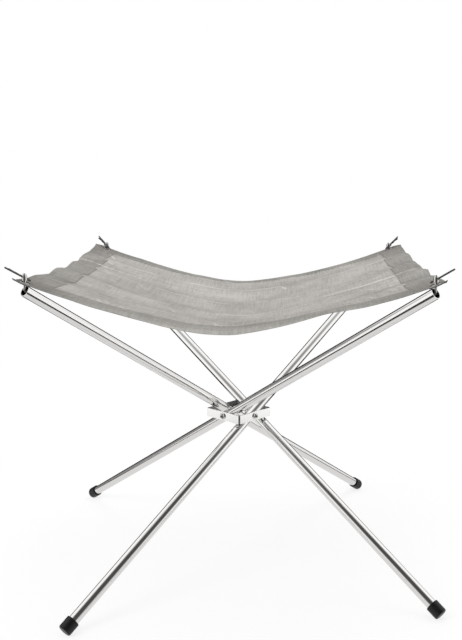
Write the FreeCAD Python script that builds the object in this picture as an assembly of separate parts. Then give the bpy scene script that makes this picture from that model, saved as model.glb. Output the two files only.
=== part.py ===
"""Folding fire stand: four crossed tubes on a square hub carry a sagging woven mesh sheet.

Frame: millimetres, +Z up, origin on the floor under the middle of the hub.
+X is right and +Y is away from the front edge of the sheet.

Every tube crosses the outside of the middle column, so the four are alike by quarter turns.
One leg is drawn in its own frame, where its hub face looks along -Y and the tube climbs
towards +X. A turn about Z then puts it in place.
"""
import os
from math import atan2, cos, degrees, pi, radians, sin, sqrt, tan

import FreeCAD
import Part

V = FreeCAD.Vector
UP = V(0, 0, 1)

# ---------------------------------------------------------------- driving dimensions
TUBE_ANGLE = radians(31.8)      # tube above the horizontal when the stand is open
TUBE_RADIUS = 6.2
TUBE_WALL = 0.8
PIVOT_TO_MOUTH = 350.0
PIVOT_TO_TUBE_END = 342.0
TUBE_OFFSET = 21.3              # tube axis from the middle of the hub

CAP_RADIUS = 7.8
CAP_LENGTH = 15.0
CAP_FLOOR = 3.0                 # rubber under the tube end
CAP_ROUND = 2.0
FOOT_FLAT = 0.35                # depth of the flat that stands on the floor

HUB_PLATE = 1.2
HUB_HEIGHT = 11.0
HUB_CORNER = 2.4                # outside radius of the bent corners
WASHER_THICK = 0.3
PIVOT_GAP = 0.15                # tube to washer, and tube to the inner rivet head

RIVET_RADIUS = 3.0
RIVET_BORE = 2.1
RIVET_HEAD_RADIUS = 4.4
RIVET_HEAD = 1.5
RIVET_FLARE = 3.2               # radius of the bore where it opens at the outer head
RIVET_FLARE_DEPTH = 1.3
RUNNING_GAP = 0.05              # radial, rivet in the tube's holes

SHEET_THICK = 0.6
SHEET_MARGIN = 10.0             # sheet beyond the eyelet centres
BACK_REACH = 9.0                # the left and right edges lie further out at the back corners
EDGE_SAG = 40.5                 # across the sheet, between its left and right edges
BED_SAG = 15.5                  # more, along the middle
HEM_DROOP = 12.0                # more, where the front and back hems roll down
SIDE_SAG = 5.0                  # left and right edges
HANG_KEEL = 0.5                 # share of the sag that runs straight down to the middle
HANG_ROUND = 0.15               # half width of the rounded middle, of half the eyelets' square
HANG_FLAT = 1.03                # the free margin beyond the eyelets' flanges levels out,
HANG_LEVEL = 0.03               # and this is how soon
EDGE_BOW = 0.020                # how far the front and back edges pull in, of half the width
SIDE_BOW = 0.012
FOLD_COUNT = 5                  # panels that the sheet is folded into for its bag
FOLD_WAVE = 3.4                 # height of the waves that the folds leave at the sides
FOLD_WAVE_BED = 1.2             # and along the middle

EYELET_BORE = 3.1
EYELET_BARREL = 3.7
EYELET_FLANGE = 5.3
EYELET_THICK = 0.8
EYELET_OVER_MOUTH = 3.0         # middle of the sheet above the highest point of the mouth

PIN_RADIUS = 1.5
PIN_STEM = 20.0                 # length plugged into the tube
PIN_BEND = 4.0
PIN_INSET = 0.6                 # post nearer to the middle than the centre of the mouth
PIN_HEAD_RADIUS = 2.75
PIN_HEAD_LIFT = 3.0             # underside of the head above the sheet
PIN_HEAD = 4.6
PIN_TIP = 2.4                   # cone on top of the head

CLIP_WIRE = 0.9                 # radius of the wire
CLIP_TILT = radians(30.0)
CLIP_ROLL = radians(15.0)       # the wavy leg lies this much above the straight one
CLIP_HOLE = 1.1                 # radius of the cross hole in the pin's head
CLIP_REACH = 25.0               # straight leg beyond the head
CLIP_BACK = -8.0                # far side of the round back, from the head
CLIP_LOOP = 2.8                 # radius of the round back
CLIP_WAVES = [(-2.8, 5.6), (0.6, 4.7), (5.4, 1.9), (9.2, 3.7), (13.0, 2.3), (18.3, 5.2)]
CLIP_WAVE_RADII = [3.0, 6.0, 2.2, 2.6, 3.0]
CLIP_SIDES = {"a": -1, "b": 1, "c": -1, "d": 1}     # side of the straight leg, for each corner

GRID_ACROSS, GRID_ALONG = 31, 61        # points that the spline faces of the sheet pass through

LEG_TURNS = {"a": -45.0, "b": 45.0, "c": 135.0, "d": 225.0}

# ---------------------------------------------------------------- derived dimensions
COS, SIN = cos(TUBE_ANGLE), sin(TUBE_ANGLE)
ALONG = V(COS, 0, SIN)          # up the tube, in the leg's frame
CAP_END = PIVOT_TO_TUBE_END + CAP_FLOOR
HUB_Z = ((CAP_END - CAP_ROUND) * SIN + (CAP_RADIUS - CAP_ROUND) * COS + CAP_ROUND - FOOT_FLAT)
HUB_INSIDE = TUBE_OFFSET + TUBE_RADIUS + PIVOT_GAP + WASHER_THICK
HUB_HALF = HUB_INSIDE + HUB_PLATE
PIVOT = V(0, -TUBE_OFFSET, HUB_Z)
MOUTH = PIVOT + ALONG * PIVOT_TO_MOUTH
POST = V(MOUTH.x - PIN_INSET, MOUTH.y, 0)
EYELET_Z = MOUTH.z + TUBE_RADIUS * COS + EYELET_OVER_MOUTH
EYELET_HALF = POST.Length / sqrt(2)         # half the side of the eyelets' square
SHEET_HALF = EYELET_HALF + SHEET_MARGIN
SHEET_TURN = degrees(atan2(POST.y, POST.x)) # the sheet follows the corners, not the hub
FOLD_PITCH = 2 * SHEET_HALF / FOLD_COUNT


# ---------------------------------------------------------------- helpers
def turned(shape, degrees_about_z):
    """A copy of a shape, turned about the stand's own axis."""
    copy = shape.copy()
    copy.rotate(V(0, 0, 0), UP, degrees_about_z)
    return copy


def disc_y(radius, y_from, y_to):
    """A cylinder along Y through the pivot."""
    return Part.makeCylinder(radius, y_to - y_from, V(0, y_from, HUB_Z), V(0, 1, 0))


def along_tube(radius, start, end):
    """A cylinder on the tube's axis, between two distances from the pivot."""
    return Part.makeCylinder(radius, end - start, PIVOT + ALONG * start, ALONG)


def rounded_path(points, radii):
    """Straight runs joined by tangent arcs, one radius for each inner point."""
    edges = []
    start = points[0]
    for before, corner, after, radius in zip(points, points[1:], points[2:], radii):
        arriving = (corner - before).normalize()
        leaving = (after - corner).normalize()
        turn = arriving.getAngle(leaving)
        reach = radius * tan(turn / 2)
        first = corner - arriving * reach
        last = corner + leaving * reach
        inward = (leaving - arriving).normalize()
        middle = corner + inward * (radius / cos(turn / 2) - radius)
        if (first - start).Length > 1e-6:
            edges.append(Part.makeLine(start, first))
        edges.append(Part.Arc(first, middle, last).toShape())
        start = last
    edges.append(Part.makeLine(start, points[-1]))
    return Part.Wire(edges)


def bent_wire(points, radii, wire_radius):
    """A round bar swept along a rounded path."""
    path = rounded_path(points, radii)
    direction = (points[1] - points[0]).normalize()
    section = Part.Wire([Part.makeCircle(wire_radius, points[0], direction)])
    return path.makePipeShell([section], True, False)


# ---------------------------------------------------------------- hub
def hub_frame():
    """A square ring bent from flat strip, with one rivet hole in each face."""
    def block(half, corner):
        box = Part.makeBox(2 * half, 2 * half, HUB_HEIGHT, V(-half, -half, HUB_Z - HUB_HEIGHT / 2))
        uprights = [e for e in box.Edges if abs(e.tangentAt(0).z) > 0.9]
        return box.makeFillet(corner, uprights)

    ring = block(HUB_HALF, HUB_CORNER).cut(block(HUB_INSIDE, HUB_CORNER - HUB_PLATE))
    hole = disc_y(RIVET_RADIUS, -HUB_HALF - 1, -HUB_INSIDE + 1)
    for quarter in range(4):
        ring = ring.cut(turned(hole, 90 * quarter))
    return turned(ring, LEG_TURNS["a"])


def pivot_rivet():
    """A tubular rivet through plate, washer and tube: a rolled head at each end, flared outside."""
    outside = -HUB_HALF
    inside = -TUBE_OFFSET + TUBE_RADIUS + PIVOT_GAP
    outer_head = disc_y(RIVET_HEAD_RADIUS, outside - RIVET_HEAD, outside)
    inner_head = disc_y(RIVET_HEAD_RADIUS, inside, inside + RIVET_HEAD)
    heads = [outer_head.makeFillet(RIVET_HEAD * 0.45, outer_head.Edges[:1] + outer_head.Edges[2:3]),
             inner_head.makeFillet(RIVET_HEAD * 0.45, inner_head.Edges[:1] + inner_head.Edges[2:3])]
    shank = disc_y(RIVET_RADIUS, outside - RIVET_HEAD / 2, inside + RIVET_HEAD / 2)
    bore = disc_y(RIVET_BORE, outside - RIVET_HEAD - 1, inside + RIVET_HEAD + 1)
    flare = Part.makeCone(RIVET_FLARE, RIVET_BORE, RIVET_FLARE_DEPTH,
                          V(0, outside - RIVET_HEAD, HUB_Z), V(0, 1, 0))
    return shank.fuse(heads).cut([bore, flare]).removeSplitter()


def pivot_washer():
    """A thin ring that keeps the tube off the plate."""
    ring = disc_y(RIVET_HEAD_RADIUS + 0.4, -HUB_INSIDE, -HUB_INSIDE + WASHER_THICK)
    return ring.cut(disc_y(RIVET_RADIUS + RUNNING_GAP, -HUB_INSIDE - 1, -HUB_INSIDE + WASHER_THICK + 1))


# ---------------------------------------------------------------- legs
def leg_tube():
    """A straight open tube with one cross hole for its rivet."""
    tube = along_tube(TUBE_RADIUS, -PIVOT_TO_TUBE_END, PIVOT_TO_MOUTH)
    tube = tube.cut(along_tube(TUBE_RADIUS - TUBE_WALL, -PIVOT_TO_TUBE_END - 1, PIVOT_TO_MOUTH + 1))
    reach = TUBE_RADIUS + 1
    return tube.cut(disc_y(RIVET_RADIUS + RUNNING_GAP, -TUBE_OFFSET - reach, -TUBE_OFFSET + reach))


def foot_cap():
    """A rubber cap with rounded edges and a small flat where it meets the floor."""
    cap = along_tube(CAP_RADIUS, -CAP_END, -CAP_END + CAP_LENGTH)
    rims = [e for e in cap.Edges if isinstance(e.Curve, Part.Circle)]
    lower = min(rims, key=lambda e: e.CenterOfMass.z)
    upper = max(rims, key=lambda e: e.CenterOfMass.z)
    cap = cap.makeFillet(CAP_ROUND, [lower])
    upper = [e for e in cap.Edges if isinstance(e.Curve, Part.Circle)
             and (e.CenterOfMass - upper.CenterOfMass).Length < 0.01
             and abs(e.Curve.Radius - CAP_RADIUS) < 0.01]
    cap = cap.makeFillet(CAP_ROUND / 3, upper)
    cap = cap.cut(along_tube(TUBE_RADIUS, -PIVOT_TO_TUBE_END, -PIVOT_TO_TUBE_END + CAP_LENGTH))
    size = 60.0
    foot = PIVOT - ALONG * CAP_END
    return cap.cut(Part.makeBox(size, size, size, V(foot.x - size / 2, foot.y - size / 2, -size)))


# ---------------------------------------------------------------- sheet and its corners
def hang(share):
    """How much of the sag is left at a share of the way out: 1 in the middle, 0 at the eyelets."""
    beyond = max(share - HANG_FLAT, 0)
    share = min(share, HANG_FLAT) + beyond / (1 + beyond / HANG_LEVEL)
    keel = (sqrt(share * share + HANG_ROUND ** 2) - HANG_ROUND) / (sqrt(1 + HANG_ROUND ** 2) - HANG_ROUND)
    return 1 - HANG_KEEL * keel - (1 - HANG_KEEL) * share * share


def sheet_height(p, q):
    """Height of the middle of the sheet at sheet coordinates p (across) and q (front to back)."""
    across = hang(abs(p) / EYELET_HALF)
    back = 1 - (q / EYELET_HALF) ** 2
    droop = HEM_DROOP * (q / SHEET_HALF) ** 10
    sag = (EDGE_SAG + BED_SAG * back + droop) * across + SIDE_SAG * back
    held = (1 - (q / EYELET_HALF) ** 6) ** 2
    wave = FOLD_WAVE_BED + (FOLD_WAVE - FOLD_WAVE_BED) * (p / EYELET_HALF) ** 2
    return EYELET_Z - sag - wave * held * cos(2 * pi * q / FOLD_PITCH)


def sheet_point(u, v):
    """A point of the sheet: u and v run from -1 to 1 across it and front to back."""
    p = u * (SHEET_HALF * (1 - SIDE_BOW * (1 - v * v)) + BACK_REACH * (1 + v) / 2)
    q = SHEET_HALF * v * (1 - EDGE_BOW * (1 - u * u))
    point = V(p, q, sheet_height(p, q))
    return FreeCAD.Rotation(UP, SHEET_TURN).multVec(point)


def sheet_normal(p, q, step=0.5):
    """The upward normal of the sheet at sheet coordinates p and q."""
    slope_p = (sheet_height(p + step, q) - sheet_height(p - step, q)) / (2 * step)
    slope_q = (sheet_height(p, q + step) - sheet_height(p, q - step)) / (2 * step)
    return V(-slope_p, -slope_q, 1).normalize()


def corner_place(leg):
    """Where a leg's eyelet sits: the turn from +Z to the sheet's normal, and its centre."""
    sign_p, sign_q = {"a": (1, -1), "b": (1, 1), "c": (-1, 1), "d": (-1, -1)}[leg]
    to_world = FreeCAD.Rotation(UP, SHEET_TURN)
    p, q = sign_p * EYELET_HALF, sign_q * EYELET_HALF
    normal = to_world.multVec(sheet_normal(p, q))
    centre = to_world.multVec(V(p, q, sheet_height(p, q)))
    return FreeCAD.Placement(centre, FreeCAD.Rotation(UP, normal))


def mesh_sheet():
    """One closed solid: two spline faces a sheet's thickness apart, and four strips round them."""
    faces = []
    rims = []
    for lift in (SHEET_THICK / 2, -SHEET_THICK / 2):
        grid = [[sheet_point(-1 + 2 * i / (GRID_ACROSS - 1), -1 + 2 * j / (GRID_ALONG - 1)) + UP * lift
                 for j in range(GRID_ALONG)] for i in range(GRID_ACROSS)]
        surface = Part.BSplineSurface()
        surface.interpolate(grid)
        faces.append(surface.toShape())
        first_u, last_u, first_v, last_v = surface.bounds()
        rims.append([surface.uIso(first_u), surface.uIso(last_u),
                     surface.vIso(first_v), surface.vIso(last_v)])
    for top, bottom in zip(*rims):
        faces.append(Part.makeRuledSurface(top.toShape(), bottom.toShape()))
    shell = Part.makeShell(faces)
    shell.sewShape()
    solid = Part.makeSolid(shell)
    if solid.Volume < 0:
        solid.reverse()
    for leg in LEG_TURNS:
        hole = Part.makeCylinder(EYELET_BARREL, 8, V(0, 0, -4))
        hole.Placement = corner_place(leg)
        solid = solid.cut(hole)
    return solid


def eyelet():
    """The upper half of a corner eyelet: a rounded flange on the sheet and a barrel through it."""
    flange = Part.makeCylinder(EYELET_FLANGE, EYELET_THICK, V(0, 0, SHEET_THICK / 2))
    flange = flange.makeFillet(EYELET_THICK * 0.6, flange.Edges[:1])
    depth = SHEET_THICK + EYELET_THICK
    barrel = Part.makeCylinder(EYELET_BARREL, depth, V(0, 0, SHEET_THICK / 2 - depth))
    bore = Part.makeCylinder(EYELET_BORE, 4 * depth, V(0, 0, -2 * depth))
    return flange.fuse(barrel).cut(bore).removeSplitter()


def eyelet_washer():
    """The lower half of a corner eyelet: a ring round the barrel, under the sheet."""
    top = -SHEET_THICK / 2
    ring = Part.makeCylinder(EYELET_FLANGE, EYELET_THICK, V(0, 0, top - EYELET_THICK))
    return ring.cut(Part.makeCylinder(EYELET_BARREL, 4 * EYELET_THICK, V(0, 0, top - 2 * EYELET_THICK)))


def corner_pin():
    """A stem in the tube, a bend at its mouth, and a post with a pointed head over the eyelet."""
    elbow = MOUTH - ALONG * (PIN_INSET / COS)
    head_base = V(POST.x, POST.y, EYELET_Z + PIN_HEAD_LIFT)
    rod = bent_wire([MOUTH - ALONG * PIN_STEM, elbow, head_base + UP], [PIN_BEND], PIN_RADIUS)
    head = Part.makeCylinder(PIN_HEAD_RADIUS, PIN_HEAD, head_base)
    tip = Part.makeCone(PIN_HEAD_RADIUS, PIN_RADIUS * 0.7, PIN_TIP, head_base + UP * PIN_HEAD)
    reach = PIN_HEAD_RADIUS + 3
    centre = clip_centre()
    cross = Part.makeCylinder(CLIP_HOLE, 2 * reach, centre - clip_axis() * reach, clip_axis())
    return rod.fuse([head, tip]).removeSplitter().cut(cross)


def clip_centre():
    """The middle of the cross hole in the pin's head."""
    return V(POST.x, POST.y, EYELET_Z + PIN_HEAD_LIFT + PIN_HEAD * 0.5)


def clip_axis():
    """Along the clip's straight leg: outward from the stand's middle and up."""
    outward = V(POST.x, POST.y, 0).normalize()
    return outward * cos(CLIP_TILT) + UP * sin(CLIP_TILT)


def hairpin_clip(side):
    """A spring clip: a straight leg through the head, a round back, and a wavy leg beside it."""
    centre = clip_centre()
    outward = clip_axis()
    level = V(POST.y, -POST.x, 0).normalize() * side
    upward = level.cross(outward) * side
    beside = level * cos(CLIP_ROLL) + upward * sin(CLIP_ROLL)
    far = 2 * CLIP_LOOP
    route = [(CLIP_REACH, 0), (CLIP_BACK, 0), (CLIP_BACK, far)] + CLIP_WAVES
    points = [centre + outward * x + beside * y for x, y in route]
    return bent_wire(points, [CLIP_LOOP, CLIP_LOOP] + CLIP_WAVE_RADII, CLIP_WIRE)


# ---------------------------------------------------------------- the whole stand
def all_nodes():
    """Every sub-part in its place, by name."""
    nodes = {"hub_frame": hub_frame(), "mesh_sheet": mesh_sheet()}
    drawn_on_a_leg = {"pivot_rivet": pivot_rivet(), "pivot_washer": pivot_washer(),
                      "leg_tube": leg_tube(), "foot_cap": foot_cap(), "corner_pin": corner_pin()}
    drawn_on_the_sheet = {"eyelet": eyelet(), "eyelet_washer": eyelet_washer()}
    for leg, turn in LEG_TURNS.items():
        for name, shape in drawn_on_a_leg.items():
            nodes[f"{name}_{leg}"] = turned(shape, turn)
        nodes[f"hairpin_clip_{leg}"] = turned(hairpin_clip(CLIP_SIDES[leg]), turn)
        for name, shape in drawn_on_the_sheet.items():
            placed = shape.copy()
            placed.Placement = corner_place(leg)
            nodes[f"{name}_{leg}"] = placed
    return nodes


def write_parts():
    """Write one STEP file for each sub-part."""
    os.makedirs("parts", exist_ok=True)
    for name, shape in all_nodes().items():
        solids = shape.Solids
        if len(solids) != 1 or not shape.isValid():
            raise ValueError(f"{name} is not one sound solid")
        solids[0].exportStep(f"parts/{name}.step")
        print(f"{name:18s} {solids[0].Volume:10.1f} mm3")


write_parts()
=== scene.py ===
# %% [markdown]
# # A folding fire stand
# Four thin steel tubes cross at a small square hub. They hold a woven steel sheet by its
# corners, and the fire is laid on the sheet.
# A solid model already gives every piece its place and size. Blender imports it as a fixed
# frame, so this script only has to give the pieces their looks. Whatever is stiff keeps its
# solid and gets a finish. The sheet is soft, so it is made again as thin cloth.
# %% Load the solid model
from math import atan2, cos, exp, hypot, pi, sin, sqrt

import bmesh
import bpy
from mathutils import Matrix, Vector, noise


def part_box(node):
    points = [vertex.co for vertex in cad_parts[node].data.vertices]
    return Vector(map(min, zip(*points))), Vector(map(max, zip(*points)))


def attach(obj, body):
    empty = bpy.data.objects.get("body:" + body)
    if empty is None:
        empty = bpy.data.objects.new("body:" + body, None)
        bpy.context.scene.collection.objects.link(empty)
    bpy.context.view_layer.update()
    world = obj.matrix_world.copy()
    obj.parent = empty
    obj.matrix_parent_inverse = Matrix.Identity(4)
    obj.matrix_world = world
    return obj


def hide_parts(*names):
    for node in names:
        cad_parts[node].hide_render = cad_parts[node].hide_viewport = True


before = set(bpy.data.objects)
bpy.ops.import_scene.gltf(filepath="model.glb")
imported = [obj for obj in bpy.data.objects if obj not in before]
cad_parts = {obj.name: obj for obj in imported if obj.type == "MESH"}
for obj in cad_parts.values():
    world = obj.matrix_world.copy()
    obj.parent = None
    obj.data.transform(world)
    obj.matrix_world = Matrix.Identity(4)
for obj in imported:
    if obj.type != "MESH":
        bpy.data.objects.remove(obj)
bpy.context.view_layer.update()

# %% [markdown]
# ## Sizes that the other steps need
# Positions are read from the solids, so the dressed pieces follow them. The four
# eyelets stand on the corners of a square. Its turn about the upright axis and its half side
# are the sheet's own coordinates: p runs across the sheet, q runs from front to back.
# %% Read the sizes
LEGS = "abcd"
SHEET_MARGIN = 0.010


def middle(node):
    low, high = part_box(node)
    return (low + high) / 2


hub_middle = middle("hub_frame")
eyelet_middles = {leg: middle(f"eyelet_{leg}") for leg in LEGS}
EYELET_Z = eyelet_middles["a"].z
EYELET_HALF = hypot(eyelet_middles["a"].x, eyelet_middles["a"].y) / sqrt(2)
SHEET_TURN = atan2(eyelet_middles["a"].y, eyelet_middles["a"].x) + pi / 4
SHEET_HALF = EYELET_HALF + SHEET_MARGIN
ACROSS = Vector((cos(SHEET_TURN), sin(SHEET_TURN), 0))
ALONG = Vector((-sin(SHEET_TURN), cos(SHEET_TURN), 0))
print("hub at", round(hub_middle.z, 4), "eyelets at", round(EYELET_HALF, 4), round(EYELET_Z, 4))

# %% [markdown]
# ## The camera
# The camera comes first, because the view decides which details matter. A lens of about
# 49 mm from a little over a metre away keeps the tubes' crossing lines natural. It looks
# down a little, so the sheet reads as a shallow bowl and its front hem hangs across the view.
# %% Set the camera
LENS = 49.07
EYE = hub_middle + Vector((-0.0181, -1.0950, 0.3034))
LOOK_DOWN, LOOK_RIGHT, TILT = 0.1656, 0.0077, -0.0028
forward = Vector((sin(LOOK_RIGHT) * cos(LOOK_DOWN), cos(LOOK_RIGHT) * cos(LOOK_DOWN), -sin(LOOK_DOWN)))
camera_data = bpy.data.cameras.new("camera")
camera_data.lens = LENS
camera_data.sensor_fit = "VERTICAL"
camera_data.sensor_height = 36
camera = bpy.data.objects.new("camera", camera_data)
bpy.context.scene.collection.objects.link(camera)
camera.matrix_world = (Matrix.Translation(EYE) @ forward.to_track_quat("-Z", "Y").to_matrix().to_4x4()
                       @ Matrix.Rotation(TILT, 4, "Z"))
bpy.context.scene.camera = camera
print("camera", round(EYE.length, 3), "m from the origin")

# %% [markdown]
# ## Shader maths as Python
# A finish is a small sum over the surface: a weave, a mask for the creases, some cloudiness.
# Linking Math nodes by hand hides that sum. Here one small class wraps a socket and gives it
# the usual operators, so the sum can be read. Every other node comes from one method, which
# takes the node's type, its settings and what goes into its sockets.
# %% A reading wraps one socket
class Reading:
    """One output of a node. Sums on it become Math nodes."""

    def __init__(self, finish, socket):
        self.finish, self.socket = finish, socket

    def maths(self, operation, *values):
        return self.finish.node("ShaderNodeMath", {"operation": operation}, values)

    def __add__(self, other):
        return self.maths("ADD", self, other)

    def __sub__(self, other):
        return self.maths("SUBTRACT", self, other)

    def __mul__(self, other):
        return self.maths("MULTIPLY", self, other)

    def __rsub__(self, other):
        return self.maths("SUBTRACT", other, self)

    __radd__, __rmul__ = __add__, __mul__

    def __abs__(self):
        return self.maths("ABSOLUTE", self)


print("operators ready")


# %% A finish makes its own nodes
class Finish:
    """The nodes of one material, or of the world."""

    def __init__(self, name, owner=None):
        self.owner = owner or bpy.data.materials.new(name)
        self.owner.use_nodes = True
        self.tree = self.owner.node_tree
        self.tree.nodes.clear()

    def node(self, kind, settings=None, sockets=(), output=0):
        made = self.tree.nodes.new(kind)
        for setting, value in (settings or {}).items():
            setattr(made, setting, value)
        inlets = [socket for socket in made.inputs if socket.enabled]
        names = [socket.name for socket in inlets]
        for key, value in (sockets.items() if isinstance(sockets, dict) else enumerate(sockets)):
            inlet = inlets[key if isinstance(key, int) else names.index(key)]
            if isinstance(value, Reading):
                self.tree.links.new(value.socket, inlet)
            else:
                inlet.default_value = (*value, 1) if inlet.type == "RGBA" else value
        outlets = [socket for socket in made.outputs if socket.enabled]
        names = [socket.name for socket in outlets]
        return Reading(self, outlets[output if isinstance(output, int) else names.index(output)])

    def place(self):
        return self.node("ShaderNodeTexCoord", output="Object")

    def dot(self, vector, direction):
        settings = {"operation": "DOT_PRODUCT"}
        return self.node("ShaderNodeVectorMath", settings, (vector, direction), "Value")

    def vector(self, x, y, z=0.0):
        return self.node("ShaderNodeCombineXYZ", None, (x, y, z))

    def step(self, value, low, high):
        """0 below low, 1 above high, smooth between. It falls instead where low is the larger."""
        return self.node("ShaderNodeMapRange", {"interpolation_type": "SMOOTHSTEP"},
                         {"Value": value, "From Min": low, "From Max": high})

    def cloud(self, vector, scale, detail=2.0):
        sockets = {"Vector": vector, "Scale": scale, "Detail": detail}
        return self.node("ShaderNodeTexNoise", None, sockets, "Fac")

    def mix(self, mask, first, second):
        """A colour between two colours."""
        sockets = {"Factor": mask, "A": first, "B": second}
        return self.node("ShaderNodeMix", {"data_type": "RGBA"}, sockets)

    def bump(self, height, distance, strength=1.0):
        sockets = {"Height": height, "Distance": distance, "Strength": strength}
        return self.node("ShaderNodeBump", None, sockets)

    def surface(self, **sockets):
        """Close the material with a Principled surface."""
        named = {name.replace("_", " "): value for name, value in sockets.items()}
        shader = self.node("ShaderNodeBsdfPrincipled", None, named)
        self.node_out(shader)
        return self.owner

    def node_out(self, shader, kind="ShaderNodeOutputMaterial"):
        made = self.tree.nodes.new(kind)
        self.tree.links.new(shader.socket, made.inputs["Surface"])


def put(material, *nodes):
    """Give a solid's slots one material."""
    for node in nodes:
        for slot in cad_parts[node].material_slots:
            slot.material = material


print("finish ready")

# %% [markdown]
# ## The shape of the sheet
# The real sheet is fine steel wire cloth, hung by four corners. Left and right edges are
# pulled almost straight, while the front and back edges sag. It is stored folded in five, so
# it keeps four ridges from side to side. Cloth simulation could find a shape, but it would
# lose the folds. One height formula is clearer, and the solid has the same kind. The visible
# sheet adds what the solid leaves out: limp sides, a right edge that has been pulled out a
# little and a front edge that is not quite even.
# %% Height of the sheet
EDGE_SAG, BED_SAG, HEM_DROOP, SIDE_SAG = 0.0405, 0.0155, 0.012, 0.005
HANG_KEEL, HANG_ROUND, HANG_FLAT, HANG_LEVEL = 0.5, 0.15, 1.03, 0.03
EDGE_BOW, SIDE_BOW, SIDE_SKEW, BACK_REACH = 0.020, -0.003, 0.016, 0.009
FLAT_RIDGE = 0.0012
LIMP = 0.004
CURL_START, FRONT_CURL, BACK_CURL = 0.0055, 30, 8
FLUTTER = ((-0.034, 0.065, 0.0038), (0.106, 0.038, -0.0050))
FOLD_PITCH = 2 * SHEET_HALF / 5
RIDGES = [(place - 1.5) * FOLD_PITCH for place in range(4)]
RIDGE_HEIGHTS = {-1: (0.0013, 0.0018, 0.0018, 0.0004), 1: (0.0006, 0.0026, 0.0005, 0.0012)}


def hang(share):
    """How much of the sag is left at a share of the way out: 1 in the middle, 0 at the eyelets."""
    beyond = max(share - HANG_FLAT, 0)
    share = min(share, HANG_FLAT) + beyond / (1 + beyond / HANG_LEVEL)
    keel = (hypot(share, HANG_ROUND) - HANG_ROUND) / (hypot(1, HANG_ROUND) - HANG_ROUND)
    return 1 - HANG_KEEL * keel - (1 - HANG_KEEL) * share * share


def ridge_height(p, q):
    """Height that the folds leave, larger at the sides, with its own size for each ridge."""
    share = (p / EYELET_HALF) ** 2
    place = q / FOLD_PITCH + 1.5 + 0.10 * noise.noise(Vector((p * 9, q * 9, 2.7)))
    nearest = min(3, max(0, round(place)))
    off = min(1.0, abs(place - nearest) * 2)
    wave = 0.9 * cos(pi * off) + 0.1 * (2 * (1 - off) ** 1.3 - 1)
    size = RIDGE_HEIGHTS[1 if p > 0 else -1][nearest]
    held = (1 - min(1.0, abs(q / EYELET_HALF)) ** 6) ** 2
    return (FLAT_RIDGE + (size - FLAT_RIDGE) * share) * held * wave


def corner_reach(p, q):
    """Distance beyond the nearest eyelet, out along the diagonal."""
    return (abs(p) + abs(q) - 2 * EYELET_HALF) / sqrt(2)


def height(p, q):
    back = 1 - (q / EYELET_HALF) ** 2
    droop = HEM_DROOP * (abs(q) / SHEET_HALF) ** 10
    sag = (EDGE_SAG + BED_SAG * back + droop) * hang(abs(p) / EYELET_HALF) + SIDE_SAG * back
    calm = min(1.0, hypot(abs(p) - EYELET_HALF, abs(q) - EYELET_HALF) / 0.05)
    slow = noise.noise(Vector((p * 13, q * 21, 4.2))) * 0.0018
    uneven = slow + noise.noise(Vector((p * 40, q * 34, 9.1))) * 0.0005
    curl = max(0.0, corner_reach(p, q) - CURL_START) ** 2 * (FRONT_CURL if q < 0 else BACK_CURL)
    limp = LIMP * (abs(p) / SHEET_HALF) ** 8 * back * abs(back)
    near_front = max(0.0, -q / SHEET_HALF) ** 5
    limp += near_front * sum(drop * exp(-((p - at) / reach) ** 2) for at, reach, drop in FLUTTER)
    return EYELET_Z - sag - limp + ridge_height(p, q) + uneven * calm ** 2 + curl


print("bed lowest at", round(min(height(0, q / 50) for q in range(-10, 10)), 4), "m")

# %% [markdown]
# ## From flat coordinates to the stand
# A strip of cloth is a grid of points in p, q and a small lift above the sheet. Around each
# eyelet the grid is pushed out to a clean circle, as a punch would cut it, so that the post
# passes through a hole and not through wire.
# %% Make a strip of cloth
HOLE = 0.0042
CLOTH, BED_LIFT = 0.00028, -0.00012
BED_COLUMNS, BED_ROWS = 165, 221


def stand_point(p, q, lift):
    point = ACROSS * p + ALONG * q
    return Vector((point.x, point.y, height(p, q) + lift))


def punched(p, q, hole):
    """Move a point out of the eyelet's hole. Also says whether it was inside."""
    centre = Vector((EYELET_HALF if p > 0 else -EYELET_HALF, EYELET_HALF if q > 0 else -EYELET_HALF))
    off = Vector((p, q)) - centre
    if off.length >= hole:
        return p, q, False
    off = off.normalized() * hole if off.length else Vector((hole, 0))
    return centre.x + off.x, centre.y + off.y, True


def cloth(name, rows, thickness=CLOTH, hole=HOLE):
    """rows of (p, q, lift) become one thin sheet."""
    mesh = bmesh.new()
    grid = []
    for row in rows:
        line = []
        for p, q, lift in row:
            p, q, inside = punched(p, q, hole)
            line.append((mesh.verts.new(stand_point(p, q, lift)), inside))
        grid.append(line)
    for one, two in zip(grid, grid[1:]):
        for corner, right, across, up in zip(one, one[1:], two[1:], two):
            ring = (corner, right, across, up)
            if not all(inside for vert, inside in ring):
                mesh.faces.new([vert for vert, inside in ring]).smooth = True
    bmesh.ops.recalc_face_normals(mesh, faces=mesh.faces)
    data = bpy.data.meshes.new(name)
    mesh.to_mesh(data)
    mesh.free()
    piece = bpy.data.objects.new(name, data)
    bpy.context.scene.collection.objects.link(piece)
    solid = piece.modifiers.new("thickness", "SOLIDIFY")
    solid.thickness, solid.offset = thickness, 0
    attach(piece, "mesh")
    return piece


def spread(start, end, count):
    return [start + (end - start) * i / (count - 1) for i in range(count)]


def outline(u, v):
    """p and q of a point given as shares of the width and the length.

    Front, back and left edges bow inward. The right edge has been pulled out a little."""
    bow = SIDE_BOW - SIDE_SKEW * u
    width = SHEET_HALF * (1 - bow * (1 - v * v)) + BACK_REACH * (1 + v) / 2
    return u * width, SHEET_HALF * v * (1 - EDGE_BOW * (1 - u * u))


bed_rows = [[(*outline(u, v), BED_LIFT) for u in spread(-1, 1, BED_COLUMNS)]
            for v in spread(-1, 1, BED_ROWS)]
bed = cloth("woven_bed", bed_rows)
print("bed", len(bed.data.polygons), "faces")

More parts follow.
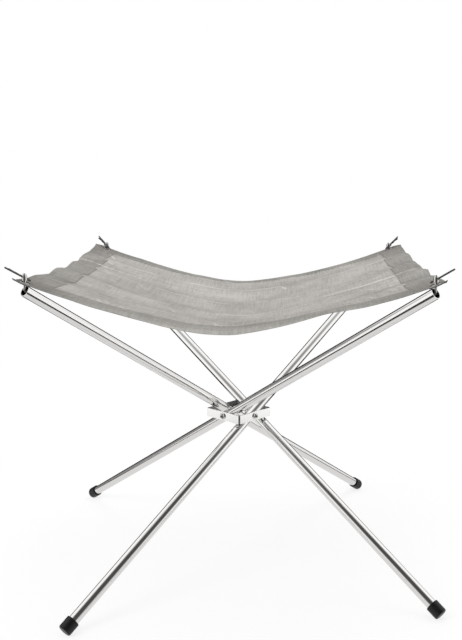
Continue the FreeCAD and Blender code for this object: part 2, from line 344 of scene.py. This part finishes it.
# %% [markdown]
# ## Hems
# A raw edge of wire cloth frays and cuts hands, so each edge is folded back over itself.
# The doubled cloth is denser, and its darker colour is partly painted shade between the two
# layers. Each hem is a strip of its own: it lies on the sheet, rolls round the edge and ends
# just below it. Away from the pressed corners its inner edge stands off a little, which is
# what draws the line along it.
# %% Fold the four hems
SIDE_HEM, END_HEM = 0.034, 0.033
HEM_CLOTH = 0.00026
HEM_REST, HEM_STAND, HEM_SWELL = 0.00016, 0.0003, 0.0002
HEM_STEPS = (181, 15)
SIDE_OVER_END = 0.00004
ROLLED_EDGE = ((-0.0002, 0.00004), (-0.0001, -0.0003), (0.0012, -0.00034))


def hem_width(side, share):
    """Side hems step at each fold, because the cloth was creased before it was hung."""
    if not side:
        return END_HEM
    panel = (share + 1) / 2 * 5
    return SIDE_HEM + 0.005 * ((panel % 1) - 0.5) - 0.004 * (panel / 5)


def hem(name, side, sign):
    rows = []
    for share in spread(-1, 1, HEM_STEPS[0]):
        width = hem_width(side, share)
        loose = 1 - abs(share) ** 4
        row = []
        for part in spread(0, 1, HEM_STEPS[1]):
            inward = width * (1 - part)
            off = HEM_REST + HEM_STAND * loose * (1 - part) ** 3 + HEM_SWELL * loose * sin(pi * part)
            row.append((inward, off + (SIDE_OVER_END if side else 0)))
        row += ROLLED_EDGE
        line = []
        for inward, off in row:
            other = 1 - inward / SHEET_HALF
            p, q = outline(sign * other, share) if side else outline(share, sign * other)
            line.append((p, q, off - SIDE_OVER_END))
        rows.append(line)
    return cloth(name, rows, HEM_CLOTH)


hems = [hem("hem_left", True, -1), hem("hem_right", True, 1),
        hem("hem_front", False, -1), hem("hem_back", False, 1)]
print([piece.name for piece in hems])

# %% [markdown]
# Two hems meet at each corner. The cloth there was folded under once more before it was
# pressed, so a thick pad shows below the eyelet and out to the tip. Its very dark colour is
# partly painted shade between the layers.
# %% Fold the corners under
PAD, PAD_THICK, PAD_HOLE = 0.021, 0.0009, 0.0056
PAD_INSET, PAD_TOP, PAD_TAPER, PAD_STEPS = 0.0004, -0.00034, 0.35, 22


def corner_pad(leg, sign_p, sign_q):
    rows = []
    for far_q in spread(0, PAD, PAD_STEPS):
        row = []
        for far_p in spread(0, PAD, PAD_STEPS):
            tight = 1 - PAD_TAPER * (far_p + far_q) / (2 * PAD)
            u, v = (1 - (far * tight + PAD_INSET) / SHEET_HALF for far in (far_p, far_q))
            p, q = outline(sign_p * u, sign_q * v)
            row.append((p, q, PAD_TOP - PAD_THICK / 2))
        rows.append(row)
    return cloth(f"corner_pad_{leg}", rows, PAD_THICK, PAD_HOLE)


CORNER_SIGNS = ((1, -1), (1, 1), (-1, 1), (-1, -1))
pads = [corner_pad(leg, *signs) for leg, signs in zip(LEGS, CORNER_SIGNS)]
print(len(pads), "corner pads")

# %% [markdown]
# ## The finish of wire cloth
# Up close, wire cloth is a plain weave: each wire goes over one and under the next. Two sine
# waves give the round wires, and their product says which one is on top. The same number
# drives the bump and the colour; in the colour it is painted shade, light on the wire crowns
# and dark in the gaps. Over it lie slow clouds from handling, streaks along single wires,
# small painted glints of reflected light, a brownish dirt where hands hold the corners, and
# bright lines along the creases that are partly wear and partly painted highlight.
# %% Weave, streaks and creases
WIRE_PITCH = 0.0013
DIRT, PAINTED_GLINT, CREASE_WEAR_AND_HIGHLIGHT = (0.17, 0.158, 0.145), (0.95, 0.94, 0.93), (0.85, 0.84, 0.825)


def wire_cloth(name, light, dark, shine):
    f = Finish(name)
    place = f.place()
    p, q = f.dot(place, ACROSS), f.dot(place, ALONG)
    warp = p.maths("SINE", p * (pi / WIRE_PITCH))
    weft = q.maths("SINE", q * (pi / WIRE_PITCH))
    over = warp * weft
    wires = over.maths("MAXIMUM", abs(warp) * (0.62 + over * 0.38), abs(weft) * (0.62 - over * 0.38))

    def stretched(across, along):
        return f.cloud(f.vector(p * across, q * along), 1.0)

    streaks = (stretched(14, 760) + stretched(760, 14)) * 0.5
    bands = (stretched(24, 330) + stretched(400, 30)) * 0.5
    clouds = f.cloud(place, 16, 3.0)
    # the weave's share of the tone is painted shade: wire crowns lighter, gaps between wires darker
    tone = f.step(wires * 0.45 + streaks * 0.6 + bands * 0.75 + clouds * 0.45, 0.80, 1.42)
    wobble = (stretched(20, 4) - 0.5) * 0.006
    # bright lines along the creases: partly wear, partly painted highlight where light catches the
    # ridges
    crease_wear_and_highlight = None
    for ridge in RIDGES:
        line = f.step(abs(q + wobble - ridge), 0.0024, 0.0004)
        crease_wear_and_highlight = line if crease_wear_and_highlight is None else crease_wear_and_highlight + line
    broken = f.step(stretched(24, 6), 0.38, 0.56)
    # painted highlight: small bright glints of reflected light in the base colour
    painted_glint = f.step(f.cloud(f.vector(p * 95 + q * 60, q * 16 - p * 9), 1.0), 0.67, 0.74)
    handled = f.step(abs(p) + abs(q) + clouds * 0.08, 0.36, 0.47) * 0.45
    dirty = f.mix(handled, f.mix(tone, dark, light), DIRT)
    with_painted_glints = f.mix(painted_glint * shine * 0.45, dirty, PAINTED_GLINT)
    colour = f.mix(crease_wear_and_highlight * broken * shine, with_painted_glints, CREASE_WEAR_AND_HIGHLIGHT)
    rough = 0.46 + clouds * 0.12 - crease_wear_and_highlight * broken * 0.15
    bumps = f.bump(wires, 0.0002, 0.7)
    return f.surface(Base_Color=colour, Metallic=0.5, Roughness=rough, Normal=bumps)


single = wire_cloth("woven_steel", (0.70, 0.675, 0.645), (0.34, 0.326, 0.310), 0.95)
# the doubled and pressed copies are denser cloth, and their darker tones are partly painted shade
# between layers
double = wire_cloth("woven_steel_double", (0.52, 0.503, 0.470), (0.23, 0.222, 0.208), 0.55)
pressed = wire_cloth("woven_steel_pressed", (0.24, 0.233, 0.228), (0.10, 0.097, 0.095), 0.3)
bed.data.materials.append(single)
for piece in hems:
    piece.data.materials.append(double)
for piece in pads:
    piece.data.materials.append(pressed)
for piece in (bed, *hems, *pads):
    piece.visible_glossy = False  # the tubes mirror the bright studio, not the sheet
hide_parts("mesh_sheet")
hems + pads
print("cloth finish on", 1 + len(hems + pads), "pieces")

# %% [markdown]
# ## Polished tube
# The legs are drawn stainless tube, polished along its length. Such a finish is a mirror with
# fine lines in it, so it needs no colour of its own, only a slightly warm grey. The lines
# follow each tube, so the material is made once for each leg with that leg's direction.
# %% Finish the tubes
DRAWN_OUT = 0.012


def tube_direction(leg):
    """Unit vector up the tube, from the means of its upper and its lower end."""
    points = [vert.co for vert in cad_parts[f"leg_tube_{leg}"].data.vertices]
    upper = [point for point in points if point.z > hub_middle.z + 0.1]
    lower = [point for point in points if point.z < hub_middle.z - 0.1]
    return (sum(upper, Vector()) / len(upper) - sum(lower, Vector()) / len(lower)).normalized()


def polished(name, direction, colour=(0.80, 0.792, 0.78), rough=0.10):
    f = Finish(name)
    place = f.place()
    up = f.dot(place, direction)
    along = f.node("ShaderNodeVectorMath", {"operation": "SCALE"}, {"Vector": direction, "Scale": up})
    round_it = f.node("ShaderNodeVectorMath", {"operation": "SUBTRACT"}, (place, along))
    drawn = f.node("ShaderNodeVectorMath", {"operation": "MULTIPLY_ADD"},
                   (along, (DRAWN_OUT,) * 3, round_it))
    lines = f.cloud(drawn, 1400, 2.0)
    smears = f.cloud(place, 24, 3.0)
    colour = f.mix(lines, colour, tuple(c * 0.97 for c in colour))
    return f.surface(Base_Color=colour, Metallic=1.0, Roughness=rough + lines * 0.02 + smears * 0.04)


for leg in LEGS:
    put(polished(f"tube_steel_{leg}", tube_direction(leg)), f"leg_tube_{leg}")
print("tubes polished")

# %% [markdown]
# ## Hub, rivets and small steel
# The hub is bent from strip that is polished on its outside only. Its inside is painted
# nearly black as shade and dark reflection. A square distance from the upright axis tells the
# two apart. Rivets and eyelets are pressed from softer steel and are a little duller. The
# clips are spring wire, hardened and a little darker, and their very dark colour is mostly
# painted reflection of the dark surroundings.
# %% Finish the small steel
def strip_steel():
    f = Finish("hub_steel")
    place = f.place()
    low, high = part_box("hub_frame")
    reach = (high.x - low.x) / 2
    square = abs(f.dot(place, (1, 0, 0))) + abs(f.dot(place, (0, 1, 0)))
    # painted shade: the inside faces of the hub get a near-black colour for the shade and dark
    # reflections there
    inside = f.step(square, reach - 0.0002, reach - 0.0010)
    grain = f.cloud(place, 900, 2.0)
    colour = f.mix(inside, (0.93, 0.925, 0.91), (0.045, 0.043, 0.042))
    return f.surface(Base_Color=colour, Metallic=1.0, Roughness=0.16 + grain * 0.06 + inside * 0.35)


put(strip_steel(), "hub_frame")
UPRIGHT = Vector((0, 0, 1))
rivet_steel = polished("rivet_steel", UPRIGHT, (0.78, 0.77, 0.755), 0.14)
pin_steel = polished("pin_steel", UPRIGHT, (0.62, 0.61, 0.60), 0.18)
eyelet_steel = polished("eyelet_steel", UPRIGHT, (0.66, 0.655, 0.645), 0.22)
# painted reflection: the clips' very dark base colour stands for the dark surroundings they mirror
clip_steel = polished("clip_steel", UPRIGHT, (0.10, 0.097, 0.094), 0.20)
for leg in LEGS:
    put(rivet_steel, f"pivot_rivet_{leg}", f"pivot_washer_{leg}")
    put(pin_steel, f"corner_pin_{leg}")
    put(eyelet_steel, f"eyelet_{leg}", f"eyelet_washer_{leg}")
    put(clip_steel, f"hairpin_clip_{leg}")
print("small steel finished")

# %% [markdown]
# ## Rubber feet
# The caps are moulded rubber with a satin skin. Fine grain in the bump keeps the highlight
# soft, and the rims are a little paler where they rub on the ground.
# %% Finish the feet
def rubber():
    f = Finish("foot_rubber")
    place = f.place()
    grain = f.cloud(place, 1500, 3.0)
    dust = f.step(f.cloud(place, 90, 4.0), 0.55, 0.8)
    low = f.step(f.dot(place, (0, 0, 1)), 0.004, 0.0)
    colour = f.mix(dust * 0.25 + low * 0.3, (0.006, 0.006, 0.0065), (0.030, 0.029, 0.028))
    return f.surface(Base_Color=colour, Specular_IOR_Level=0.3,
                     Roughness=0.34 + grain * 0.12 + dust * 0.15,
                     Normal=f.bump(grain, 0.00006, 0.4))


put(rubber(), *[f"foot_cap_{leg}" for leg in LEGS])
print("feet finished")

# %% [markdown]
# ## Floor
# The floor is a plain pale disc. The camera sees it as white with a faint shadow, and it
# fades to plain white before its edge, so no edge shows. Polished steel mirrors it as one
# even pale tone with a dark rim, and every other ray meets an ordinary matt surface.
# %% Lay the floor
FLOOR_RADIUS = 0.58
SHADOW, SHADOW_FADE = 0.2, (0.54, 0.30)
MIRRORED_RIM = (0.36, 0.41)


def emission(f, colour):
    return f.node("ShaderNodeEmission", None, {"Color": colour, "Strength": 1.0})


def diffuse(f, colour):
    return f.node("ShaderNodeBsdfDiffuse", None, {"Color": colour})


def blend(f, share, first, second):
    """A shader between two shaders."""
    return f.node("ShaderNodeMixShader", None, (share, first, second))


def light_path(f, name):
    return f.node("ShaderNodeLightPath", output=name)


def floor_finish():
    f = Finish("floor")
    place = f.place()
    away = f.node("ShaderNodeVectorMath", {"operation": "LENGTH"}, (place,), "Value")
    catches = f.step(away, *SHADOW_FADE) * SHADOW
    seen = blend(f, catches, emission(f, (1, 1, 1)), diffuse(f, (1, 1, 1)))
    pale, dark_rim = emission(f, (0.85, 0.848, 0.845)), emission(f, (0.04, 0.039, 0.038))
    mirrored = blend(f, f.step(away, *MIRRORED_RIM), pale, dark_rim)
    lit = blend(f, light_path(f, "Is Glossy Ray"), diffuse(f, (0.86, 0.858, 0.855)), mirrored)
    f.node_out(blend(f, light_path(f, "Is Camera Ray"), lit, seen))
    return f.owner


disc = bmesh.new()
bmesh.ops.create_circle(disc, cap_ends=True, segments=96, radius=FLOOR_RADIUS)
floor_data = bpy.data.meshes.new("floor")
disc.to_mesh(floor_data)
disc.free()
floor = bpy.data.objects.new("floor", floor_data)
floor.location.z = -0.0002
bpy.context.scene.collection.objects.link(floor)
floor_data.materials.append(floor_finish())
print("floor", FLOOR_RADIUS, "m")

# %% [markdown]
# ## Studio light
# Polished metal shows nothing but what stands round it. An even white studio would leave the
# tubes flat and pale, so photographers hang dark cloths just outside the view: their
# reflections draw the dark lines along each tube. The world holds those cloths as soft
# masks on the direction of a ray. The camera itself sees plain white. Two soft lamps light
# the cloth and the rubber, and they are kept out of the reflections.
# %% Build the studio round the stand
BRIGHT, GREY = (1.2, 1.2, 1.2), (0.30, 0.294, 0.288)
BLACK, LOW_DARK, DARK = (0.015, 0.0145, 0.014), (0.04, 0.039, 0.038), (0.075, 0.073, 0.071)


def background(f, colour, strength=1.0):
    return f.node("ShaderNodeBackground", None, {"Color": colour, "Strength": strength})


def studio():
    world = bpy.data.worlds.new("studio")
    bpy.context.scene.world = world
    f = Finish("studio", world)
    ray = f.node("ShaderNodeTexCoord", output="Generated")
    x, y, z = (f.dot(ray, axis) for axis in ((1, 0, 0), (0, 1, 0), (0, 0, 1)))
    behind = f.step(abs(z) * 0.5 - y + x * 0.07, 0.42, 0.90)
    ahead = f.step(y - x * 0.05, 0.69, 0.79) * f.step(abs(z - 0.15), 0.60, 0.46)
    aside = f.step(y - x, 1.05, 1.22) + f.step(y + x, 1.05, 1.22) * 0.25
    cloths = f.mix(aside * f.step(abs(z - 0.1), 0.36, 0.22), BRIGHT, GREY)
    cloths = f.mix(ahead, cloths, BLACK)
    cloths = f.mix(f.step(z, -0.27, -0.34), cloths, LOW_DARK)
    cloths = f.mix(behind, cloths, DARK)
    lit = blend(f, light_path(f, "Is Glossy Ray"), background(f, (1, 1, 1), 0.8), background(f, cloths))
    seen = blend(f, light_path(f, "Is Camera Ray"), lit, background(f, (1, 1, 1)))
    f.node_out(seen, "ShaderNodeOutputWorld")


studio()


def softbox(name, place, size, power):
    data = bpy.data.lights.new(name, "AREA")
    data.energy, data.size, data.color = power, size, (1, 0.99, 0.975)
    lamp = bpy.data.objects.new(name, data)
    lamp.location = place
    lamp.visible_glossy = False
    lamp.rotation_euler = (hub_middle - Vector(place)).to_track_quat("-Z", "Y").to_euler()
    bpy.context.scene.collection.objects.link(lamp)


softbox("softbox_left", (-1.0, -0.9, 1.2), 0.7, 9)
softbox("softbox_top", (0.3, 0.5, 1.6), 0.8, 7)
bpy.context.scene.view_settings.view_transform = "Standard"
print("studio lit")

# %% [markdown]
# ## Close
# %% Finish
bpy.context.view_layer.update()
